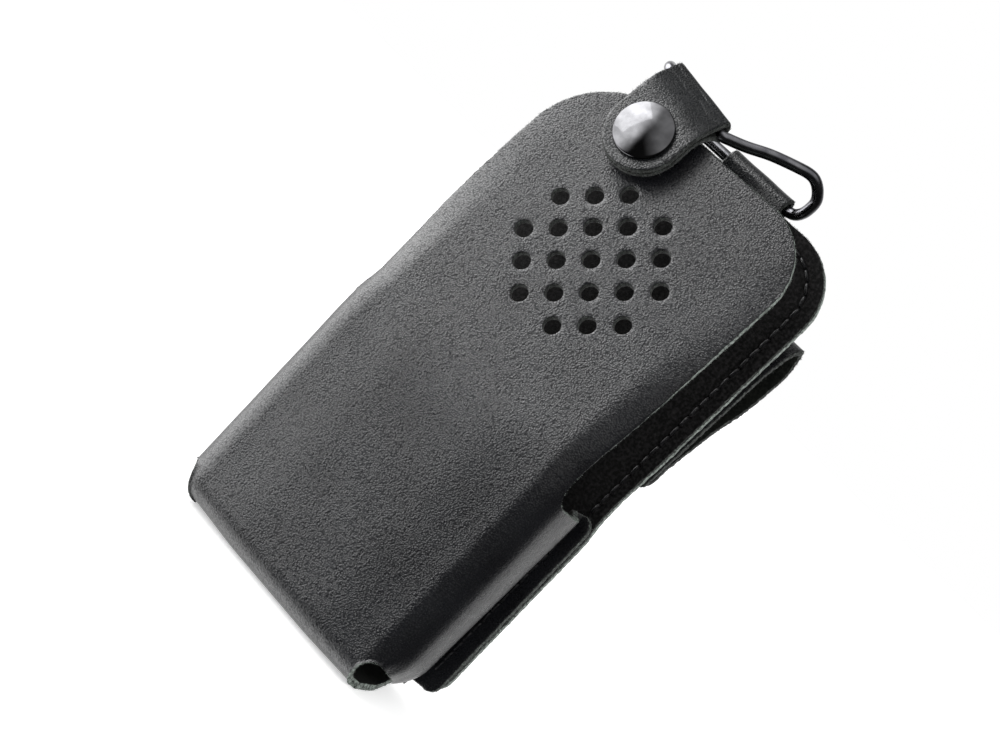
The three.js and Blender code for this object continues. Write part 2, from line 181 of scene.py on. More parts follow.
def evenly(points, step):
    """Points at even distances along a closed outline."""
    points = np.asarray(points, float)
    closed = np.vstack([points, points[:1]])
    along = np.concatenate([[0], np.cumsum(np.linalg.norm(np.diff(closed, axis=0), axis=1))])
    count = max(int(along[-1] / step), 8)
    at = np.linspace(0, along[-1], count, endpoint=False)
    return np.stack([np.interp(at, along, closed[:, 0]), np.interp(at, along, closed[:, 1])], 1)


def inward(ring):
    """Unit vectors into the leather; outlines run anticlockwise and holes clockwise."""
    along = np.roll(ring, -1, 0) - np.roll(ring, 1, 0)
    along /= np.linalg.norm(along, axis=1)[:, None]
    return np.stack([-along[:, 1], along[:, 0]], 1)


def inside(points, ring):
    """Which points lie inside a closed outline."""
    after = np.roll(ring, -1, 0)
    odd = np.zeros(len(points), bool)
    x, y = points[:, 0], points[:, 1]
    for (ax, ay), (bx, by) in zip(ring, after):
        if ay != by:
            crosses = (ay > y) != (by > y)
            odd ^= crosses & (x < (bx - ax) * (y - ay) / (by - ay) + ax)
    return odd


def wander(count, size, waves):
    """A closed, seeded, smooth random offset of about the given size."""
    turn = np.linspace(0, 2 * np.pi, count, endpoint=False)
    total = np.zeros(count)
    for wave in waves:
        total += RNG.uniform(0.4, 1.0) * np.sin(wave * turn + RNG.uniform(0, 6.3))
    return size * total / len(waves)


def surface_frame(surface, flat):
    """Grain-side positions and outward normals of points in the flat."""
    e = 0.05
    u, v = flat[:, 0], flat[:, 1]
    across = surface(u + e, v) - surface(u - e, v)
    along = surface(u, v + e) - surface(u, v - e)
    normal = np.cross(across, along)
    normal /= np.linalg.norm(normal, axis=1)[:, None]
    return surface(u, v), normal


def fuzz(surface, ring, thickness, per_mm, reach):
    """Short bent fibres that stand out of a cut edge, as points and triangles."""
    count = int(per_mm * np.linalg.norm(np.roll(ring, -1, 0) - ring, axis=1).sum())
    at = RNG.uniform(0, len(ring), count)
    low = at.astype(int)
    share = (at - low)[:, None]
    flat = ring[low] * (1 - share) + ring[(low + 1) % len(ring)] * share
    into = inward(ring)[low]
    base, normal = surface_frame(surface, flat + into * 0.1)
    out = base - surface_frame(surface, flat + into * 0.2)[0]
    out /= np.linalg.norm(out, axis=1)[:, None]
    along = np.cross(out, normal)
    base = base - normal * (RNG.uniform(0.02, 0.98, count) * thickness)[:, None]
    length = (RNG.uniform(0.3, 1.0, count) ** 1.5 * reach)[:, None]
    lean_a, lean_b = RNG.normal(0, 0.7, (2, count, 1))
    bend_a, bend_b = RNG.normal(0, 1.1, (2, count, 1))
    mid = base + length * 0.5 * (out + along * lean_a + normal * lean_b * 0.7)
    tip = mid + length * 0.6 * (out * 0.7 + along * bend_a + normal * bend_b)
    width = RNG.uniform(0.03, 0.06, (count, 1))
    points, faces = [], []
    for k in range(3):
        turn = 2 * math.pi * k / 3
        spread = (along * math.cos(turn) + normal * math.sin(turn)) * width
        points += [base - out * 0.1 + spread, mid + spread * 0.8]
    points.append(tip)
    rows = np.stack(points, 1).reshape(-1, 3)
    for i in range(count):
        first = 7 * i
        for k in range(3):
            a, b = first + 2 * k, first + 2 * ((k + 1) % 3)
            faces.append((a, b, b + 1, a + 1))
            faces.append((a + 1, b + 1, first + 6))
        faces.append((first + 4, first + 2, first))
    return rows, faces


# ---- Sheets of leather ----
EDGE_STEP = 0.55
EDGE_INSET = 0.3
HOLE_FIBRES = (4, 0.3)


def cut_rings(outline, holes, ragged):
    """The sheet's outline with a slightly ragged cut, then one clean ring for each hole."""
    ring = evenly(outline, EDGE_STEP)
    ring += inward(ring) * wander(len(ring), ragged * 2, (23, 57, 90, 140))[:, None]
    ring += inward(ring) * RNG.uniform(-ragged, ragged, len(ring))[:, None]
    turn = 360 / HOLE_POINTS
    return [ring] + [np.array(arc(u, v, r, 360, turn, HOLE_POINTS - 1)) for u, v, r in holes]


def fill_flat(inner, holes, columns, rows):
    """Triangles in the flat between rings, over a grid.

    Returns the points, the triangles and the number of the point that each ring point became.
    """
    grid = np.array(np.meshgrid(columns, rows)).reshape(2, -1).T
    grid = grid[inside(grid, inner[0])]
    tree = kdtree.KDTree(sum(map(len, inner)))
    for index, point in enumerate(np.vstack(inner)):
        tree.insert((point[0], point[1], 0), index)
    tree.balance()
    keep = [tree.find((u, v, 0))[2] > EDGE_INSET for u, v in grid]
    for u, v, r in holes:
        keep &= np.hypot(grid[:, 0] - u, grid[:, 1] - v) > r + EDGE_INSET
    flat = np.vstack(inner + [grid[np.asarray(keep, bool)]])

    loops, first = [], 0
    for ring in inner:
        loops.append(list(range(first, first + len(ring))))
        first += len(ring)
    edges = [(loop[i - 1], loop[i]) for loop in loops for i in range(len(loop))]
    cut = geometry.delaunay_2d_cdt([Vector(p) for p in flat], edges, [loops[0]], 1, 1e-6)
    flat = np.array([tuple(p) for p in cut[0]])
    where = {source: out for out, sources in enumerate(cut[3]) for source in sources}

    triangles = np.array([f for f in cut[2] if len(f) == 3])
    middle = flat[triangles].mean(1)
    solid = np.ones(len(triangles), bool)
    for u, v, r in holes:
        solid &= np.hypot(middle[:, 0] - u, middle[:, 1] - v) > r + 0.6 * EDGE_INSET
    triangles = triangles[solid]
    a, b, c = (flat[triangles[:, k]] for k in range(3))
    turned = np.cross(b - a, c - a) < 0
    triangles[turned] = triangles[turned][:, ::-1]
    return flat, triangles, [[where[i] for i in loop] for loop in loops]


def leather_sheet(
    name, surface, outline, holes, thickness, columns, rows, materials, relief=None, ragged=0.05,
    edge_slot=None, fibres=(14, 0.55),
):
    """A sheet of leather with its grain face, its flesh face and a rounded raw edge all round.

    surface maps the flat pattern (u, v) to the grain face; holes are (u, v, radius);
    relief lifts the grain face; materials are those of the grain, the flesh and the cut edge;
    edge_slot says where the edge takes a fourth one; fibres are their number per mm and their length.
    """
    # Steps round the cut edge: how far each lies back from the outline, and how deep below the grain.
    rim = [
        (0.08, 0.08), (0.0, 0.3), (0.05, 0.5 * thickness), (0.0, thickness - 0.3), (0.08, thickness - 0.08),
    ]
    rings = cut_rings(outline, holes, ragged)
    inner = [ring + inward(ring) * EDGE_INSET for ring in rings]
    flat, triangles, loops = fill_flat(inner, holes, columns, rows)

    grain, normal = surface_frame(surface, flat)
    lift = relief(flat[:, 0], flat[:, 1])
    points = [grain + normal * lift[:, None], grain - normal * thickness]
    count = len(flat)
    faces = [tuple(t) for t in triangles] + [(t[2] + count, t[1] + count, t[0] + count) for t in triangles]
    slots = [0] * len(triangles) + [1] * len(triangles)
    first = 2 * count
    for index, (ring, loop) in enumerate(zip(rings, loops)):
        is_hole = index > 0
        into = inward(ring)
        size = len(ring)
        levels = [loop]
        for k, (back, depth) in enumerate(rim):
            shift = back + RNG.uniform(-ragged, ragged, size) * (0.5 if k in (0, len(rim) - 1) else 1)
            at, out = surface_frame(surface, ring + into * shift[:, None])
            points.append(at - out * (depth + RNG.uniform(-0.04, 0.04, size))[:, None])
            levels.append(list(range(first, first + size)))
            first += size
        levels.append([i + count for i in loop])
        raw = np.full(size, 2)
        if edge_slot:
            raw = np.where(edge_slot(ring[:, 0], ring[:, 1]) | is_hole, 3, 2)
        for k, (upper, lower) in enumerate(zip(levels, levels[1:])):
            for i in range(size):
                faces.append((upper[i - 1], lower[i - 1], lower[i], upper[i]))
                slots.append(0 if k == 0 else 1 if k == len(rim) else int(raw[i]))
        hairs, hair_faces = fuzz(surface, ring, thickness, *(HOLE_FIBRES if is_hole else fibres))
        points.append(hairs)
        faces.extend(tuple(i + first for i in face) for face in hair_faces)
        slots.extend([3 if is_hole and edge_slot else 2] * len(hair_faces))
        first += len(hairs)
    return mesh_object(name, np.vstack(points), faces, materials, slots)


def spaced(*stretches):
    """Grid lines from stretches of (start, end, step)."""
    lines = []
    for start, end, step in stretches:
        lines.extend(np.linspace(start, end, max(int(round((end - start) / step)), 1), endpoint=False))
    lines.append(stretches[-1][1])
    return np.array(lines)


def mirrored(lines):
    """The same grid lines on both sides of the middle."""
    return np.unique(np.round(np.concatenate([-lines[::-1], lines]), 4))


# ---- Surface of the moulded front leather: u runs round the box from its middle, v up it ----
WALL_START = FLAT_HALF + CORNER_R * math.pi / 2
WALL_END, FOLD_END = 66.0, 68.2
FOLD_R = 0.9
FLANGE_ROOT = {6: 30.8, SIDE_TOP_Z: 33.0}
# The side wall's plan is a cubic curve. Its second control point lies WALL_OUT past the corner. The x of its
# last two, PULL and MEET, is measured from the flange's root, and LEG is the step between them.
WALL_OUT, WALL_OUT_Y = 0.5, -8.0
PULL_X, PULL_Y = 4.2, 0.8
MEET_X, MEET_Y = 0.2, 4.6
LEG_X, LEG_Y = 4.0, 3.8
# The flange's edge in the pattern lies at this u, less the x of the flange's root at that height.
FLANGE_REACH = 104.78
# Beyond this u the front's cut edge takes the darker edge material.
DARK_EDGE_FROM = 62.0


def flange_root(z):
    """The side walls tuck in more towards the sole."""
    return np.interp(z, list(FLANGE_ROOT), list(FLANGE_ROOT.values()))


def side_wall(u, z):
    """Plan of the convex side wall, of the tight fold behind it and of the flange."""
    root = flange_root(z)
    t = np.clip((u - WALL_START) / (WALL_END - WALL_START), 0, 1)
    x0, y0 = FLAT_HALF + CORNER_R, FRONT_Y + CORNER_R
    x1, y1 = x0 + WALL_OUT, WALL_OUT_Y
    w0, w1, w2, w3 = (1 - t) ** 3, 3 * t * (1 - t) ** 2, 3 * t * t * (1 - t), t ** 3
    x = w0 * x0 + w1 * x1 + w2 * (root + PULL_X) + w3 * (root + MEET_X)
    y = w0 * y0 + w1 * y1 + w2 * PULL_Y + w3 * MEET_Y
    s0, s1, s2 = 3 * (1 - t) ** 2, 6 * t * (1 - t), 3 * t * t
    dx = s0 * (x1 - x0) + s1 * (root + PULL_X - x1) - s2 * LEG_X
    dy = s0 * (y1 - y0) + s1 * (PULL_Y - y1) + s2 * LEG_Y
    length = np.hypot(dx, dy)
    nx, ny = dy / length, -dx / length
    arrive = math.atan2(LEG_Y, -LEG_X)
    turn = arrive * (1 - np.clip((u - WALL_END) / (FOLD_END - WALL_END), 0, 1))
    cx = root + MEET_X + FOLD_R * math.sin(arrive)
    cy = FLANGE_Y - FOLD_R
    folded = u > WALL_END
    x = np.where(folded, cx - FOLD_R * np.sin(turn) + np.maximum(u - FOLD_END, 0), x)
    y = np.where(folded, cy + FOLD_R * np.cos(turn), y)
    nx = np.where(folded, np.sin(turn), nx)
    ny = np.where(folded, -np.cos(turn), ny)
    return x, y, nx, ny


def lean_tables():
    """The lean of the flap, and y and z up the middle of the front, against v."""
    step = 0.1
    v = np.arange(0, 160, step)
    angle = FLAP_LEAN * np.clip((v - BEND_LOW) / (BEND_HIGH - BEND_LOW), 0, 1)
    y = np.concatenate([[0], np.cumsum(np.sin(angle[:-1]) * step)])
    z = np.concatenate([[0], np.cumsum(np.cos(angle[:-1]) * step)])
    return v, angle, y, z


LEAN_V, LEAN_ANGLE, LEAN_Y, LEAN_Z = lean_tables()


def sole_tables():
    """The sole and its turned-up lip, as y and z against the distance behind the front rounding."""
    step = 0.05
    w = np.arange(0, 40, step)
    flat = SOLE_FLAT_Y - FRONT_Y - BOTTOM_R
    slope_end = flat + (FLANGE_Y + 0.1 - SOLE_FLAT_Y) / math.cos(SOLE_SLOPE)
    lip = slope_end + LIP_R * (math.pi / 2 - SOLE_SLOPE)
    turns = [0, 0, SOLE_SLOPE, SOLE_SLOPE, math.pi / 2]
    angle = np.interp(w, [0, flat - 2, flat + 2, slope_end, lip], turns)
    y = FRONT_Y + BOTTOM_R + np.concatenate([[0], np.cumsum(np.cos(angle[:-1]) * step)])
    z = np.concatenate([[0], np.cumsum(np.sin(angle[:-1]) * step)])
    return w, y, z


SOLE_W, SOLE_Y, SOLE_Z = sole_tables()
SOLE_START = BOTTOM_R - BOTTOM_R * math.pi / 2
SOLE_END = SOLE_START - np.interp(LIP_TOP_Z, SOLE_Z, SOLE_W)


# The corners' curvature (1/mm) against height: tight at the box, opening up the flap.
CURL_V = [64, 72, 82, 92, 104, 115]
CURL = [1 / CORNER_R, 0.112, 0.085, 0.05, 0.022, 0.010]
# Below this height the side walls have their own plan and don't lean with the flap.
WALL_TOP = NOTCH_Z + 10


def upright_front(a, v):
    """Front, corners, side walls and flap, before the underside is rounded, with normals in plan."""
    curl = np.interp(v, CURL_V, CURL)
    start = np.interp(v, CURL_V[:2], [FLAT_HALF, FLAT_HALF - 1])
    turn = np.maximum(a - start, 0) * curl
    x = np.minimum(a, start) + np.sin(turn) / curl
    depth = (1 - np.cos(turn)) / curl
    nx, ny = np.sin(turn), -np.cos(turn)
    wall = side_wall(a, np.maximum(v, 6))
    on_wall = (a > WALL_START) & (v < WALL_TOP)
    fade = 1 - smooth(38, 46, a) * (v < WALL_TOP)
    lean = np.interp(v, LEAN_V, LEAN_ANGLE) * fade
    y = FRONT_Y + np.interp(v, LEAN_V, LEAN_Y) * fade + depth * np.cos(lean)
    z = np.where(v > 0, np.interp(v, LEAN_V, LEAN_Z) * fade + v * (1 - fade), v) - depth * np.sin(lean)
    x = np.where(on_wall, wall[0], x)
    y = np.where(on_wall, wall[1] + np.interp(v, LEAN_V, LEAN_Y) * fade, y)
    return x, y, z, np.where(on_wall, wall[2], nx), np.where(on_wall, wall[3], ny)


def front_surface(u, v):
    """Grain face of the front leather: the upright part, its rounded underside and the sole."""
    a = np.abs(u)
    x, y, z, nx, ny = upright_front(a, v)

    # The rounding grows under the corners, much less so on the left, and ends before the fold.
    under_r = BOTTOM_R + (9 * smooth(31, 39, a) - 7 * smooth(45, 60, a)) * np.where(u < 0, 0.25, 1.0)
    round_share = 1 - smooth(60, WALL_END, a)
    theta = np.clip((under_r - v) / under_r, 0, math.pi / 2)
    delta = under_r * (1 - np.cos(theta)) * round_share
    rise = np.interp(y, SOLE_Y, SOLE_Z, left=0) * (1 - smooth(BOTTOM_R, 32, v)) * round_share
    x = x - nx * delta
    y = y - ny * delta
    rounded = under_r * (1 - np.sin(theta))
    z = np.where(v < under_r, rounded * round_share + v * (1 - round_share), z) + rise

    w = SOLE_START - v
    on_sole = w > 0
    x = np.where(on_sole, a, x)
    y = np.where(on_sole, np.interp(w, SOLE_W, SOLE_Y), y)
    z = np.where(on_sole, np.interp(w, SOLE_W, SOLE_Z), z)
    return np.stack([np.where(u < 0, -1.0, 1.0) * x, y, z], 1)


def front_relief(u, v):
    """Slight unevenness of leather moulded wet by hand, and the crown of the front towards its corners."""
    a = np.abs(u)
    lift = 0.08 * np.sin(u / 11.0 + 1.3) * np.sin(v / 17.0 + 0.4)
    lift -= 0.6 * smooth(12, 32, a) * (1 - smooth(32, WALL_START + 2, a)) * (1 - smooth(60, 76, v))
    lift += 0.015 * np.sin(u / 3.7 + v / 5.1) + 0.015 * np.sin(u / 5.3 - v / 3.1 + 2.0)
    return lift * (1 - smooth(58, 64, a))


def front_outline():
    """The pattern's outline: sole tongue, corner arches, flanges, notches and flap, right side first."""
    u_edge = FLANGE_REACH - flange_root(6.0)
    u_top = FLANGE_REACH - flange_root(SIDE_TOP_Z)
    tongue = [
        (29, SOLE_END), (29.6, SOLE_END + 0.6), (29.8, SOLE_END + 12), (TONGUE_HALF, SOLE_START - 12),
        (TONGUE_HALF, SOLE_START),
    ]
    arch = {
        1: [(30.4, -0.5), (29.9, 2.0), (30.0, 5.2), (30.8, 7.4), (32.0, 8.8), (33.6, 9.5), (35.4, 9.3)],
        -1: [(32.6, -0.5), (33.0, 2.0), (33.2, 5.0), (33.8, 6.8), (34.8, 8.0), (35.8, 8.5)],
    }
    lower = [
        (37.6, 8.5), (40, 7.8), (44, 6.6), (49, 4.6), (54, 2.2), (59, 0.8), (62, 1.0),
        (64, 2.8), (66, 4.8), (69, 5.8),
    ]
    lower += arc(u_edge - 3, 9.0, 3.0, -90, 0, 5)
    lower += arc(u_top - 3.5, SIDE_TOP_Z - 3.5, 3.5, 0, 90, 6)
    lower += [
        (67.5, 61.0), (62, 60.5), (55, 60.8), (51.6, 61.0), (46, 61.6), (42.4, 62.2), (40, 62.9),
        (38.2, 64.1), (37.3, 66.2),
    ]
    halves = {}
    for side, r in FLAP_CORNER.items():
        top = FLAP_TOP - (0.8 if side < 0 else 0)
        upper = [(36.8, 69), (36.5, 76), (36.8, 88), (FLAP_HALF, 100)]
        upper += arc(FLAP_HALF - r, top - r, r, 0, 90, 14)
        halves[side] = tongue + arch[side] + lower + upper
    left = [(-u, v) for u, v in reversed(halves[-1])]
    return soften(halves[1] + left)


def hole_places():
    """A five by five square grid without its corners, standing on one corner."""
    step = HOLE_PITCH * math.sqrt(0.5)
    places = []
    for i in range(-2, 3):
        for j in range(-2, 3):
            if abs(i) + abs(j) < 4:
                places.append(((i - j) * step, NOTCH_Z + GRID_UP + (i + j) * step, HOLE_R))
    return places


SNAP = (CAP_LOW + CAP_HIGH) / 2
SNAP_UP = (SNAP - HINGE).dot(UP_FLAP)


def make_front(materials):
    columns = mirrored(spaced((0, 28, 1.0), (28, 42, 0.7), (42, 60, 0.9), (60, 69, 0.35), (69, 74.5, 0.9)))
    rows = spaced(
        (SOLE_END, SOLE_END + 11, 0.6), (SOLE_END + 11, SOLE_START, 1.0), (SOLE_START, 10, 0.6),
        (10, 146, 1.0),
    )
    holes = hole_places() + [(SNAP.x, NOTCH_Z + SNAP_UP, POST_HOLE_R)]
    front = leather_sheet(
        "front_leather", front_surface, front_outline(), holes, LEATHER, columns, rows, materials,
        front_relief, edge_slot=lambda u, v: np.abs(u) > DARK_EDGE_FROM,
    )
    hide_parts("front_shell", "front_flap")
    return front


# ---- Flat plates: the suede lining and the back panel ----
def plate_outline():
    """The lining's and the panel's outline, with a slight waist beside the notch."""
    waist = PANEL_HALF - PLATE_WAIST
    return rounded_plate(
        PANEL_HALF, PANEL_LOW.z, PANEL_HIGH.z, PLATE_LOW_R, PLATE_TOP_R, LINING_HIGH.x,
        ((PANEL_HALF, 57), (waist, 63), (waist, 70), (PANEL_HALF, 82),
         (LINING_HIGH.x, PANEL_HIGH.z - PLATE_TOP_R)),
    )


def plate_grid():
    return mirrored(spaced((0, 20, 1.3), (20, 40, 0.5))), spaced((5, 130, 1.3), (130, 145, 0.5))


def seam_dent(u, v):
    """The groove that the stitches pull along the edge of the panel and its lining."""
    a = np.abs(u)
    bend_x, bend_z = LINING_HIGH.x - PLATE_TOP_R, PANEL_HIGH.z - PLATE_TOP_R
    seam_x = np.interp(v, [SIDE_TOP_Z, bend_z], [PANEL_HALF - STITCH_INSET, LINING_HIGH.x - STITCH_INSET])
    beside = np.abs(a - seam_x)
    corner = np.abs(np.hypot(a - bend_x, v - bend_z) - PLATE_TOP_R + STITCH_INSET)
    across = np.abs(v - PANEL_HIGH.z + STITCH_INSET)
    away = np.where(v < bend_z, beside, np.where(a > bend_x, corner, across))
    return 0.3 * np.exp(-(away / 0.6) ** 2)


def make_lining(materials):
    def surface(u, v):
        return np.stack([u, LINING_LOW.y + 0 * u, v], 1)

    def relief(u, v):
        wave = 0.10 * np.sin(u / 6.1 + 0.7) * np.sin(v / 8.3) + 0.03 * np.sin(u / 2.3 + v / 1.9)
        return wave - 0.10 - seam_dent(u, v)

    thickness = LINING_HIGH.y - LINING_LOW.y
    lining = leather_sheet(
        "suede_lining", surface, plate_outline(), [], thickness, *plate_grid(), materials, relief,
    )
    place(lining, "case", "suede_leather", "back_lining")


def make_panel(materials):
    def surface(u, v):
        return np.stack([-u, PANEL_HIGH.y + 0 * u, v], 1)

    def relief(u, v):
        return 0.08 * np.sin(u / 7.7) * np.sin(v / 9.1 + 1.0) - 0.08 - seam_dent(u, v)

    thickness = PANEL_HIGH.y - PANEL_LOW.y
    panel = leather_sheet(
        "back_panel_leather", surface, plate_outline(), [], thickness, *plate_grid(), materials, relief,
        fibres=(10, 0.08),
    )
    place(panel, "case", "grain_leather", "back_panel")


# ---- Strips that follow a path in a plane ----
def catmull(points, per_span=12):
    """A smooth path through given points."""
    points = [Vector(p) for p in points]
    padded = [2 * points[0] - points[1]] + points + [2 * points[-1] - points[-2]]
    path = []
    for a, b, c, d in zip(padded, padded[1:], padded[2:], padded[3:]):
        for step in range(per_span):
            t = step / per_span
            path.append(0.5 * ((2 * b) + (c - a) * t + (2 * a - 5 * b + 4 * c - d) * t ** 2
                               + (3 * b - 3 * c + d - a) * t ** 3))
    return path + [points[-1]]


def path_table(points, step=0.1):
    """Positions, tangents and length of a path in a plane, by distance along it."""
    points = np.array([tuple(p) for p in points])
    along = np.concatenate([[0], np.cumsum(np.linalg.norm(np.diff(points, axis=0), axis=1))])
    at = np.arange(0, along[-1], step)
    a, b = np.interp(at, along, points[:, 0]), np.interp(at, along, points[:, 1])
    da, db = np.gradient(a), np.gradient(b)
    size = np.hypot(da, db)
    return at, a, b, da / size, db / size, along[-1]


def follow(table, v, offset):
    """Points beside a path: offset lies to the left of its direction."""
    at, a, b, da, db, _ = table
    ta, tb = np.interp(v, at, da), np.interp(v, at, db)
    beyond = np.maximum(v - at[-1], 0) + np.minimum(v, 0)
    pa = np.interp(v, at, a) + beyond * ta
    pb = np.interp(v, at, b) + beyond * tb
    return pa - tb * offset, pb + ta * offset


def make_belt_loop(materials):
    t = LOOP_LEATHER
    front = PANEL_HIGH.y + LOOP_GAP
    rear = LOOP_HIGH.y - t / 2
    low, high = LOOP_LOW.z, LOOP_HIGH.z
    bow = catmull([
        (front + t / 2, low + 38), (14.6, 120.4), (19.2, high - t / 2), (rear - 1.1, 119), (rear, 114),
        (22.5, 104.5), (18, 96), (front + 1.5 * t + 0.05, low + 8),
    ])
    path = [Vector((front + t / 2, low)), Vector((front + t / 2, low + 30))] + bow
    path.append(Vector((front + 1.5 * t + 0.05, low)))
    table = path_table(path)
    length = table[5]

    def half_at(v):
        z = follow(table, v, 0)[1]
        return np.interp(z, [low, high], [LOOP_HALF, LOOP_HIGH.x])

    def surface(u, v):
        y, z = follow(table, v, t / 2)
        share = u / LOOP_HALF
        return np.stack([share * half_at(v), y, z], 1)

    def relief(u, v):
        at_fold = np.exp(-(v - 47) ** 2 / 4 ** 2)
        return 0.08 * np.sin(u / 6.3 + 2) * np.sin(v / 7.9) - 0.08 + 0.05 * np.sin(v / 1.9) * at_fold

    outline = rounded_plate(LOOP_HALF, 0, length, 1.5, 3.0)
    columns, rows = mirrored(spaced((0, 38, 1.4))), spaced((0, 32, 1.5), (32, 62, 0.7), (62, length, 1.3))
    loop = leather_sheet(
        "belt_loop_leather", surface, outline, [], t - 0.1, columns, rows, materials, relief, ragged=0.07,
    )
    place(loop, "case", "grain_leather", "belt_loop")


def make_hanger(materials):
    t = HANGER_LEATHER
    r = (HANGER_HIGH.y - HANGER_LOW.y) / 2 - t / 2
    middle = (HANGER_LOW.x + HANGER_HIGH.x) / 2
    half = (HANGER_HIGH.x - HANGER_LOW.x) / 2
    foot = HANGER_LOW.z
    crown = [(BACK_BAR.y - r * math.cos(a), BACK_BAR.z + r * math.sin(a))
             for a in np.linspace(0, math.pi, 25)]
    path = [Vector((BACK_BAR.y - r, foot))] + [Vector(p) for p in crown] + [Vector((BACK_BAR.y + r, foot))]
    table = path_table(path)
    length = table[5]

    def surface(u, v):
        y, z = follow(table, v, t / 2)
        return np.stack([middle + u, y, z], 1)

    def relief(u, v):
        return 0.05 * np.sin(u / 1.7 + 1) * np.sin(v / 2.3) - 0.06

    outline = rounded_plate(half, 0, length, 0.8, 0.8)
    columns, rows = mirrored(spaced((0, half, 0.8))), spaced((0, length, 0.5))
    hanger = leather_sheet("hanger_leather", surface, outline, [], t, columns, rows, materials, relief)
    place(hanger, "case", "strap_leather", "bail_hanger")


# ---- Closing strap: one strip folded round the bail's front bar, its ends lying together ----
def make_tab(materials):
    # The layers' heights over the flap, and the fold's radius round the bar.
    top, under = 5.9, 2.5
    fold_r = 1.7 + TAB_LAYER
    bar_up = (FRONT_BAR - HINGE).dot(UP_FLAP)
    bar_behind = -(FRONT_BAR - HINGE).dot(OUT_OF_FLAP)
    half = TAB_HALF
    end = SNAP_UP - half
    fold = [(-bar_behind - fold_r * math.sin(a), bar_up + fold_r * math.cos(a))
            for a in np.radians(np.linspace(-30, 105, 28))]
    over = [Vector((top, end)), Vector((top, SNAP_UP + 3))] + catmull([
        (top, SNAP_UP + 5.2), (top - 0.4, SNAP_UP + 8), (top - 1.4, SNAP_UP + 10.8),
        (top - 3.1, SNAP_UP + 13.8), fold[0],
    ], 8)
    back = catmull([
        fold[-1], (-1.9, SNAP_UP + 12.7), (-0.4, SNAP_UP + 11.6), (1.2, SNAP_UP + 9.8), (2.1, SNAP_UP + 7.6),
        (under, SNAP_UP + 5.2),
    ], 8) + [Vector((under, end))]
    path = over[:-1] + [Vector(p) for p in fold[1:-1]] + back
    table = path_table(path)
    length = table[5]

    def surface(u, v):
        n, s = follow(table, v, 0)
        s = s - BAR_TILT * u * smooth(half + 2, half + 12, v) * smooth(half + 2, half + 12, length - v)
        y = HINGE.y + UP_FLAP.y * s + OUT_OF_FLAP.y * n
        z = HINGE.z + UP_FLAP.z * s + OUT_OF_FLAP.z * n
        return np.stack([SNAP.x + u, y, z], 1)

    def relief(u, v):
        crease = 0.0
        # Creases across the fold: how far each lies behind the snap, and its depth.
        for beyond, size in ((15.5, 0.10), (18.2, 0.14), (21, 0.12), (24.5, 0.08)):
            centre = half + beyond
            wavy = centre + 0.35 * np.sin(u / 1.3 + centre) + 0.05 * u
            crease = crease - size * np.exp(-((v - wavy) / 0.35) ** 2)
        return crease + 0.04 * np.sin(u / 1.9) * np.sin(v / 2.3)

    outline = np.array(arc(0, half, half, 180, 360, 24) + arc(0, length - half, half, 0, 180, 24))
    holes = [(0, half, TAB_HOLE_R), (0, length - half, TAB_HOLE_R)]
    columns = mirrored(spaced((0, half, 0.6)))
    fold_start, fold_end = half + 12, length - half - 10
    rows = spaced((0, fold_start, 0.7), (fold_start, fold_end, 0.3), (fold_end, length, 0.7))
    tab = leather_sheet(
        "closing_strap", surface, outline, holes, TAB_LAYER - 0.06, columns, rows, materials, relief,
    )
    place(tab, "strap", "strap_leather", "closure_tab")


# ---- Metal pieces ----
def lathe(profile, centre, axis, turns=72):
    """Points and faces of a profile of (radius, height) turned about an axis; closed on the axis."""
    axis = Vector(axis).normalized()
    side = axis.orthogonal().normalized()
    other = axis.cross(side)
    points, faces = [], []
    for r, h in profile:
        for k in range(turns):
            a = 2 * math.pi * k / turns
            outward = side * math.cos(a) + other * math.sin(a)
            points.append(Vector(centre) + axis * h + outward * max(r, 1e-4))
    for ring in range(len(profile) - 1):
        for k in range(turns):
            a, b = ring * turns + k, ring * turns + (k + 1) % turns
            faces.append((a, b, b + turns, a + turns))
    faces.append(tuple(reversed(range(turns))))
    faces.append(tuple(range((len(profile) - 1) * turns, len(profile) * turns)))
    return points, faces


def rounded_profile(points, rounds=2):
    """Cuts the corners of an open profile, keeping its two ends."""
    points = np.asarray(points, float)
    for _ in range(rounds):
        a, b = points[:-1], points[1:]
        middle = np.stack([0.8 * a + 0.2 * b, 0.2 * a + 0.8 * b], 1).reshape(-1, 2)
        points = np.vstack([points[:1], middle, points[-1:]])
    return points


def snap_piece(name, profile, material, body, node, rounds=2, ring=False):
    """A turned piece on the snap's axis. A ring has no faces that close it at its middle."""
    centre = HINGE + UP_FLAP * SNAP_UP
    centre.x = SNAP.x
    points, faces = lathe(rounded_profile(profile, rounds), centre, OUT_OF_FLAP)
    obj = mesh_object(name, points, faces[:-2] if ring else faces, [material])
    place(obj, body, "snap_nickel", node)


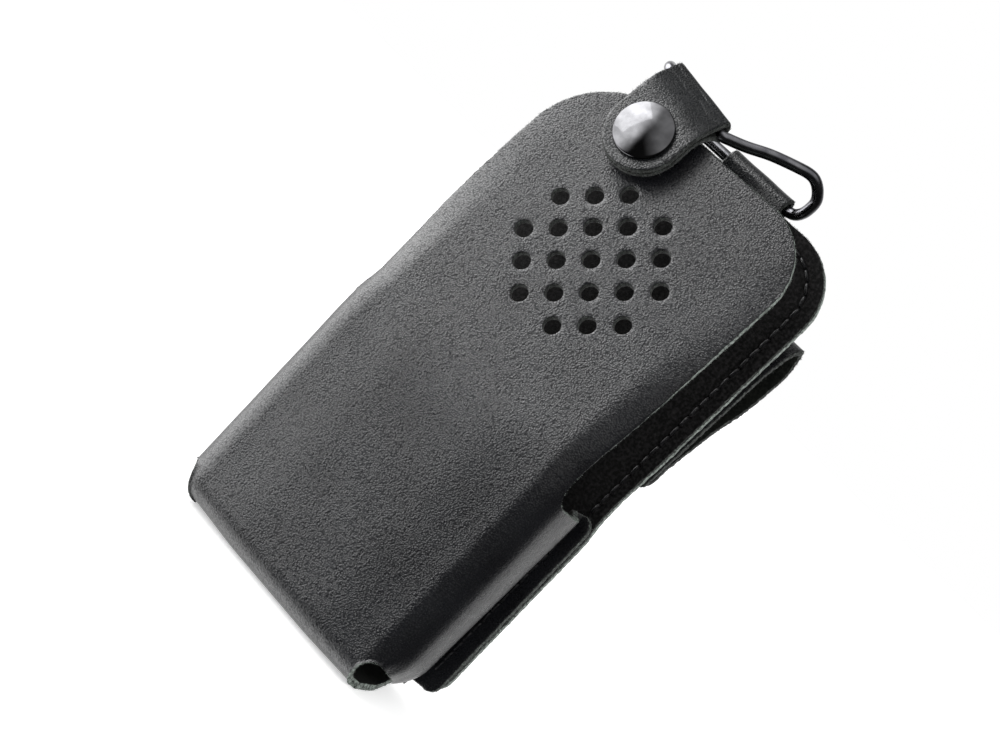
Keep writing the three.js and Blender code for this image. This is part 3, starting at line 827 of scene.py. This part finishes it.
def make_snap(material):
    """The snap's four pieces, each from its profile of (radius, height over the flap)."""
    cap_r = (CAP_HIGH.x - CAP_LOW.x) / 2
    base = 6.05
    face_r = cap_r - 0.5
    dome = [(face_r * t, base + 1.15 + 1.2 * (1 - t * t)) for t in np.linspace(0.99, 0, 18)]
    cap = [
        (0, 2.2), (1.6, 2.2), (1.6, base), (cap_r - 0.6, base), (cap_r - 0.12, base + 0.12),
        (cap_r, base + 0.42), (cap_r - 0.04, base + 0.78), (cap_r - 0.22, base + 1.05),
    ] + dome
    snap_piece("snap_cap_polished", cap, material, "strap", "snap_cap", 1)
    socket = [
        (1.9, 2.1), (3.8, 2.1), (3.8, 1.3), (5.4, 1.3), (5.8, 1.6), (5.8, 2.35), (1.9, 2.35), (1.9, 2.1),
    ]
    snap_piece("snap_socket_ring", socket, material, "strap", "snap_socket", 1, ring=True)
    stud = [
        (0, 1.2), (1.4, 1.2), (1.4, 0.15), (5.2, 0.15), (5, 0.5), (3.2, 0.8), (1.9, 1), (2.3, 1.5),
        (1.9, 1.9), (0, 1.9),
    ]
    snap_piece("snap_stud_turned", stud, material, "flap", "snap_stud")
    post = [
        (0, -3), (4.2, -3), (4.4, -2.6), (4, -2.2), (1.2, -2.2), (1.2, 0.9), (0, 0.9),
    ]
    snap_piece("snap_post_turned", post, material, "flap", "snap_post")


# ---- Tubes: the wire and the stitches ----
def tube(path, r, sides):
    """Points and faces of a round tube along a path, with closed ends."""
    path = [Vector(p) for p in path]
    tangents = [(b - a).normalized() for a, b in zip([path[0]] + path[:-1], path[1:] + [path[-1]])]
    side = tangents[0].orthogonal().normalized()
    points, faces = [], []
    for at, along in zip(path, tangents):
        side = (side - along * side.dot(along)).normalized()
        other = along.cross(side)
        for k in range(sides):
            a = 2 * math.pi * k / sides
            points.append(at + (side * math.cos(a) + other * math.sin(a)) * r)
    for ring in range(len(path) - 1):
        for k in range(sides):
            a, b = ring * sides + k, ring * sides + (k + 1) % sides
            faces.append((a, b, b + sides, a + sides))
    faces.append(tuple(reversed(range(sides))))
    faces.append(tuple(range((len(path) - 1) * sides, len(path) * sides)))
    return points, faces


def joined(parts):
    """Several (points, faces) as one."""
    points, faces = [], []
    for some_points, some_faces in parts:
        faces.extend([tuple(i + len(points) for i in face) for face in some_faces])
        points.extend(some_points)
    return points, faces


def make_wire(material):
    """The bail: a closed wire on a given route between its back bar and its askew front bar."""

    def back(x):
        return Vector((x, BACK_BAR.y, BACK_BAR.z))

    def front(x):
        return Vector((x, FRONT_BAR.y, FRONT_BAR.z)) + UP_FLAP * BAR_TILT * (FRONT_BAR.x - x)

    start = BACK_BAR.x
    right = catmull([
        back(14.5), back(16.6), (18.7, 9.4, 145.9), (20.4, 8.05, 147.8), (21.2, 6.2, 150.8),
        (20.5, 4.2, 152.8), (19, 2.5, 154.1), (17.2, 1.2, 154.3), (14.3, -0.6, 153.4), (8.7, -2.6, 151.4),
        (3.7, -4.2, 149), (-0.2, -5.4, 147.5), front(-2.0), front(-4.5),
    ], 9)
    left = catmull([
        front(-20.5), front(-22.6), (-24.3, -4.2, 150.7), (-25.4, -2, 151.2), (-25.9, 1, 150.9),
        (-25.4, 5, 149), (-23.6, 8.6, 146.2), back(-20), back(-17),
    ], 9)
    path = [back(start + 0.3)] + right + [front(x) for x in (-8, -12, -16)] + left
    path += [back(x) for x in (-12, -6, 0)] + [back(start - 0.3)]
    wire = mesh_object("bail_wire", *tube(path, WIRE_R, 20), [material])
    place(wire, "bail", "gunmetal_wire", "wire_bail")


def along_path(points, step):
    """Points about a step apart along a path."""
    points = np.array([tuple(p) for p in points])
    lengths = np.concatenate([[0], np.cumsum(np.linalg.norm(np.diff(points, axis=0), axis=1))])
    count = max(int(lengths[-1] / step), 1)
    at = np.linspace(0, lengths[-1], count + 1)
    return [Vector([np.interp(s, lengths, points[:, k]) for k in range(3)]) for s in at]


def stitches(path, out, pitch=3.2, r=0.36):
    """Separate stitches along a seam; each one dips into the leather at both ends."""
    out = Vector(out)
    parts = []
    holes = along_path(path, pitch)
    for a, b in zip(holes, holes[1:]):
        along = (b - a).normalized()
        across = along.cross(out)
        slant = random.uniform(-0.16, 0.16)
        a2, b2 = a + across * slant + along * 0.22, b - across * slant - along * 0.22
        strand = []
        for t in np.arange(9) / 8:
            lift = 0.30 * math.sin(math.pi * t) ** 0.5 - 0.55 * (2 * t - 1) ** 6
            strand.append(a2.lerp(b2, t) + out * lift)
        parts.append(tube(strand, r * random.uniform(0.94, 1.06), 8))
    return parts


def seam(name, rows, material, node):
    obj = mesh_object(name, *joined([part for row in rows for part in row]), [material])
    place(obj, "case", "thread", node)


def make_seams(material):
    seam_x = PANEL_HALF - STITCH_INSET
    lining_y = LINING_LOW.y - 0.1
    rear_y = PANEL_HIGH.y
    forward, rearward = (0, -1, 0), (0, 1, 0)
    r = PLATE_TOP_R - STITCH_INSET
    bend = [(LINING_HIGH.x - PLATE_TOP_R + r * math.cos(a), PANEL_HIGH.z - PLATE_TOP_R + r * math.sin(a))
            for a in np.linspace(0, math.pi / 2, 10)]
    top = PANEL_HIGH.z - STITCH_INSET
    for side, label in ((-1, "left"), (1, "right")):
        x = side * seam_x
        front = [(x, FLANGE_Y, 11), (x, FLANGE_Y, SIDE_TOP_Z - 3)]
        behind = [(x, rear_y, 9), (x, rear_y, SIDE_TOP_Z + 1)]
        seam("flange_stitches_" + label, [stitches(front, forward), stitches(behind, rearward)], material,
             "flange_thread_" + label)
        end = HANGER_LOW.x - 1.5 if side < 0 else HANGER_HIGH.x + 1.5
        route = [(x, SIDE_TOP_Z + 1)] + [(side * px, pz) for px, pz in bend] + [(end, top)]
        front = [(px, lining_y, pz) for px, pz in route]
        behind = [(px, rear_y, pz) for px, pz in route[:-1]] + [(end, rear_y, top)]
        seam("panel_stitches_" + label, [stitches(front, forward), stitches(behind, rearward)], material,
             "panel_thread_" + label)
    sole = [(-27, FLANGE_Y, 11.5), (27, FLANGE_Y, 11.5)]
    seam("sole_stitches", [stitches(sole, forward)], material, "sole_thread")
    z = PANEL_HIGH.z - 9
    x0, x1 = HANGER_LOW.x + 1.2, HANGER_HIGH.x - 1.2
    seam("hanger_stitches", [
        stitches([(x0, HANGER_LOW.y, z), (x1, HANGER_LOW.y, z)], forward, 2.8),
        stitches([(x0, HANGER_HIGH.y, z), (x1, HANGER_HIGH.y, z)], rearward, 2.8),
    ], material, "hanger_thread")
    inner = PANEL_HIGH.y + LOOP_GAP + LOOP_LEATHER
    seam("loop_stitches_upper", [stitches([(-34, inner, 100), (34, inner, 100)], rearward)], material,
         "loop_thread_upper")
    outer = inner + 1.95
    z = LOOP_LOW.z + 3.5
    seam("loop_stitches_lower", [stitches([(-33, outer, z), (33, outer, z)], rearward)], material,
         "loop_thread_lower")


# ---- Materials ----
class Surface:
    """A principled material with helpers for its procedural textures."""

    def __init__(self, name, base, roughness, metallic=0.0, specular=0.5):
        self.material = bpy.data.materials.new(name)
        self.material.use_nodes = True
        self.tree = self.material.node_tree
        self.shader = self.tree.nodes["Principled BSDF"]
        self.shader.inputs["Base Color"].default_value = (*base, 1)
        self.shader.inputs["Roughness"].default_value = roughness
        self.shader.inputs["Metallic"].default_value = metallic
        self.shader.inputs["Specular IOR Level"].default_value = specular
        self.place = self.tree.nodes.new("ShaderNodeTexCoord").outputs["Object"]
        self.normal = None

    def noise(self, scale, detail=3.0, stretch=None, distortion=0.0):
        texture = self.tree.nodes.new("ShaderNodeTexNoise")
        texture.inputs["Scale"].default_value = scale
        texture.inputs["Detail"].default_value = detail
        texture.inputs["Distortion"].default_value = distortion
        source = self.place
        if stretch:
            mapping = self.tree.nodes.new("ShaderNodeMapping")
            mapping.inputs["Scale"].default_value = stretch
            self.tree.links.new(source, mapping.inputs["Vector"])
            source = mapping.outputs["Vector"]
        self.tree.links.new(source, texture.inputs["Vector"])
        return texture.outputs["Fac"]

    def cells(self, scale):
        """Rounded pebbles of uneven shape."""
        texture = self.tree.nodes.new("ShaderNodeTexVoronoi")
        texture.feature = "SMOOTH_F1"
        texture.inputs["Scale"].default_value = scale
        texture.inputs["Smoothness"].default_value = 0.35
        warp = self.tree.nodes.new("ShaderNodeVectorMath")
        warp.operation = "MULTIPLY_ADD"
        wobble = self.tree.nodes.new("ShaderNodeTexNoise")
        wobble.inputs["Scale"].default_value = scale * 0.6
        self.tree.links.new(self.place, wobble.inputs["Vector"])
        warp.inputs[1].default_value = (0.6 / scale,) * 3
        self.tree.links.new(wobble.outputs["Color"], warp.inputs[0])
        self.tree.links.new(self.place, warp.inputs[2])
        self.tree.links.new(warp.outputs["Vector"], texture.inputs["Vector"])
        return texture.outputs["Distance"]

    def ramp(self, value, *stops):
        ramp = self.tree.nodes.new("ShaderNodeValToRGB")
        elements = ramp.color_ramp.elements
        while len(elements) < len(stops):
            elements.new(0.5)
        for element, (at, colour) in zip(elements, stops):
            element.position = at
            element.color = (*colour, 1) if isinstance(colour, tuple) else (colour, colour, colour, 1)
        self.tree.links.new(value, ramp.inputs["Fac"])
        return ramp.outputs["Color"]

    def set(self, socket, output):
        self.tree.links.new(output, self.shader.inputs[socket])

    def bump(self, height, strength, distance_mm):
        """Adds a bump to those already there."""
        node = self.tree.nodes.new("ShaderNodeBump")
        node.inputs["Strength"].default_value = strength
        node.inputs["Distance"].default_value = distance_mm * MM
        self.tree.links.new(height, node.inputs["Height"])
        if self.normal:
            self.tree.links.new(self.normal, node.inputs["Normal"])
        self.normal = node.outputs["Normal"]
        self.tree.links.new(self.normal, self.shader.inputs["Normal"])


def grain(name, dark, light, roughness, pebble):
    """Pebbled leather. Its bumps stay fine, because deep ones would blur the studio's reflections."""
    surface = Surface(name, dark, roughness[0])
    pebbles = surface.cells(2500)
    surface.set("Base Color", surface.ramp(surface.noise(55, 5), (0.3, dark), (0.7, light)))
    surface.set("Roughness", surface.ramp(surface.noise(420, 6), (0.3, roughness[0]), (0.7, roughness[1])))
    surface.set("Specular IOR Level", surface.ramp(pebbles, (0.15, 0.65), (0.75, 0.22)))
    surface.bump(surface.noise(90, 3), 0.04, 0.5)
    surface.bump(surface.noise(1900, 3), 0.6 * pebble, 0.07)
    surface.bump(pebbles, pebble, 0.075)
    return surface.material


def suede(name, dark, light, sheen):
    """Napped flesh side of the leather."""
    surface = Surface(name, dark, 0.95, specular=0.2)
    surface.set("Base Color", surface.ramp(surface.noise(1300, 6), (0.42, dark), (0.72, light)))
    surface.shader.inputs["Sheen Weight"].default_value = sheen
    surface.shader.inputs["Sheen Roughness"].default_value = 0.6
    surface.bump(surface.noise(350, 4), 0.5, 0.25)
    surface.bump(surface.noise(2600, 5), 0.9, 0.15)
    return surface.material


def raw_edge(name, dark, light, low=0.38, high=0.6):
    """Fibrous cut edge, dark below low and light above high in its noise."""
    surface = Surface(name, light, 0.95, specular=0.2)
    fibres = surface.noise(1500, 6, distortion=0.5)
    surface.set("Base Color", surface.ramp(fibres, (low, dark), (high, light)))
    surface.shader.inputs["Sheen Weight"].default_value = 0.15
    surface.bump(surface.noise(2200, 5), 1.0, 0.25)
    return surface.material


def metal(name, dark, light, roughness, stretch=None):
    surface = Surface(name, dark, roughness[0], metallic=1.0)
    surface.set("Base Color", surface.ramp(surface.noise(300, 4), (0.35, dark), (0.7, light)))
    wear = surface.noise(260, 5, stretch)
    surface.set("Roughness", surface.ramp(wear, (0.35, roughness[0]), (0.7, roughness[1])))
    surface.bump(surface.noise(160, 2), 0.12, 0.5)
    surface.bump(surface.noise(700, 4, stretch), 0.06, 0.05)
    return surface.material


GRAIN = grain("case_leather", (0.004, 0.004, 0.005), (0.007, 0.0075, 0.009), (0.24, 0.33), 1.0)
STRAP_GRAIN = grain("strap_leather", (0.004, 0.0045, 0.005), (0.008, 0.009, 0.010), (0.24, 0.32), 0.9)
FLESH = suede("flesh_side", (0.002, 0.003, 0.002), (0.010, 0.011, 0.009), 0.02)
SUEDE = suede("lining_suede", (0.001, 0.001, 0.001), (0.017, 0.016, 0.0165), 0.015)
EDGE = raw_edge("cut_edge", (0.020, 0.024, 0.021), (0.27, 0.31, 0.28))
# A darker cut edge, used by the front's flanges and holes and by the lining, belt loop, hanger and strap.
DARK_EDGE = raw_edge("dark_cut_edge", (0.003, 0.004, 0.003), (0.075, 0.087, 0.077), 0.47, 0.72)
THREAD = grain("bonded_thread", (0.004, 0.004, 0.0045), (0.010, 0.010, 0.011), (0.35, 0.5), 0.5)
NICKEL = metal("black_nickel", (0.07, 0.07, 0.073), (0.12, 0.12, 0.125), (0.05, 0.12))
GUNMETAL = metal("gunmetal", (0.10, 0.10, 0.11), (0.20, 0.20, 0.21), (0.16, 0.30), (1, 8, 8))

front_leather = make_front([GRAIN, FLESH, EDGE, DARK_EDGE])
make_lining([SUEDE, SUEDE, DARK_EDGE])
make_panel([GRAIN, FLESH, EDGE])
make_belt_loop([GRAIN, FLESH, DARK_EDGE])
make_hanger([STRAP_GRAIN, FLESH, DARK_EDGE])
make_tab([STRAP_GRAIN, FLESH, DARK_EDGE])
make_snap(NICKEL)
make_wire(GUNMETAL)
make_seams(THREAD)
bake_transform(front_leather)


# ---- Studio ----
def floor_material():
    surface = Surface("pale_floor", (0.9, 0.9, 0.9), 0.8)
    surface.set("Base Color", surface.ramp(surface.noise(8, 3), (0.3, 0.88), (0.7, 0.92)))
    surface.shader.inputs["Emission Color"].default_value = (1, 1, 1, 1)
    surface.shader.inputs["Emission Strength"].default_value = 0.5
    return surface.material


def make_floor():
    """A plain floor that reflections don't show."""
    size = 6000
    points = [(-size, -size, 0), (size, -size, 0), (size, size, 0), (-size, size, 0)]
    floor = mesh_object("studio_floor", points, [(0, 1, 2, 3)], [floor_material()])
    floor.visible_glossy = False


def softbox(name, place_m, size, energy):
    data = bpy.data.lights.new(name, "AREA")
    data.shape = "RECTANGLE"
    data.size, data.size_y = size
    data.energy = energy
    light = bpy.data.objects.new(name, data)
    bpy.context.scene.collection.objects.link(light)
    light.location = place_m
    light.rotation_euler = (Vector((0, 0, 0.075)) - Vector(place_m)).to_track_quat("-Z", "Y").to_euler()


# Soft bright areas that only reflections see. Each has its direction, the cosines of the angle from it at
# which it starts and is full, and its strength outside and inside.
LOBES = (
    ((-0.900, -0.420, 0.110), 0.60, 0.86, 0.03, 5.4),  # left
    ((-0.61, -0.355, 0.71), 0.78, 1.00, 0.0, 1.2),  # upper left
    ((-0.35, 0.93, -0.10), -0.05, 1.00, 0.0, 0.95),  # behind, very broad
    ((0.35, -0.65, 0.67), 0.68, 0.98, 0.0, 1.1),  # upper right front
    ((-0.35, -0.10, -0.93), 0.80, 0.97, 0.0, 3.0),  # below
)


def make_world():
    """Even white light; glossy rays see the soft bright areas in its place."""
    world = bpy.data.worlds.new("studio")
    world.use_nodes = True
    tree = world.node_tree
    background = tree.nodes["Background"]
    background.inputs["Color"].default_value = (1, 1, 1, 1)
    direction = tree.nodes.new("ShaderNodeTexCoord").outputs["Generated"]
    total = None
    for (x, y, z), low, high, dim, bright in LOBES:
        towards = tree.nodes.new("ShaderNodeVectorMath")
        towards.operation = "DOT_PRODUCT"
        towards.inputs[1].default_value = Vector((x, y, z)).normalized()
        tree.links.new(direction, towards.inputs[0])
        lobe = tree.nodes.new("ShaderNodeMapRange")
        lobe.interpolation_type = "SMOOTHSTEP"
        for socket, value in zip(("From Min", "From Max", "To Min", "To Max"), (low, high, dim, bright)):
            lobe.inputs[socket].default_value = value
        tree.links.new(towards.outputs["Value"], lobe.inputs["Value"])
        if total is None:
            total = lobe.outputs["Result"]
        else:
            add = tree.nodes.new("ShaderNodeMath")
            tree.links.new(total, add.inputs[0])
            tree.links.new(lobe.outputs["Result"], add.inputs[1])
            total = add.outputs["Value"]
    rays = tree.nodes.new("ShaderNodeLightPath")
    mix = tree.nodes.new("ShaderNodeMix")
    tree.links.new(rays.outputs["Is Glossy Ray"], mix.inputs["Factor"])
    mix.inputs["A"].default_value = 1.0
    tree.links.new(total, mix.inputs["B"])
    tree.links.new(mix.outputs["Result"], background.inputs["Strength"])
    bpy.context.scene.world = world


def make_camera():
    azimuth, elevation, roll = math.radians(22.8), math.radians(5.5), math.radians(43.6)
    target, distance = Vector((0.005, -0.0203, 0.0733)), 0.450
    level_y = math.cos(azimuth) * math.cos(elevation)
    forward = Vector((-math.sin(azimuth) * math.cos(elevation), level_y, -math.sin(elevation)))
    level = forward.cross(Vector((0, 0, 1))).normalized()
    above = level.cross(forward)
    right = level * math.cos(roll) + above * math.sin(roll)
    up = right.cross(forward).normalized()
    data = bpy.data.cameras.new("photo_camera")
    data.sensor_width = 36
    data.lens = 72
    data.clip_start, data.clip_end = 0.01, 20
    camera = bpy.data.objects.new("photo_camera", data)
    bpy.context.scene.collection.objects.link(camera)
    basis = Matrix((right, up, -forward)).transposed()
    camera.matrix_world = Matrix.Translation(target - forward * distance) @ basis.to_4x4()
    bpy.context.scene.camera = camera


make_floor()
softbox("key_left", (-0.80, -0.40, 0.50), (0.9, 0.7), 6)
make_world()
make_camera()
bpy.context.scene.view_settings.view_transform = "Standard"
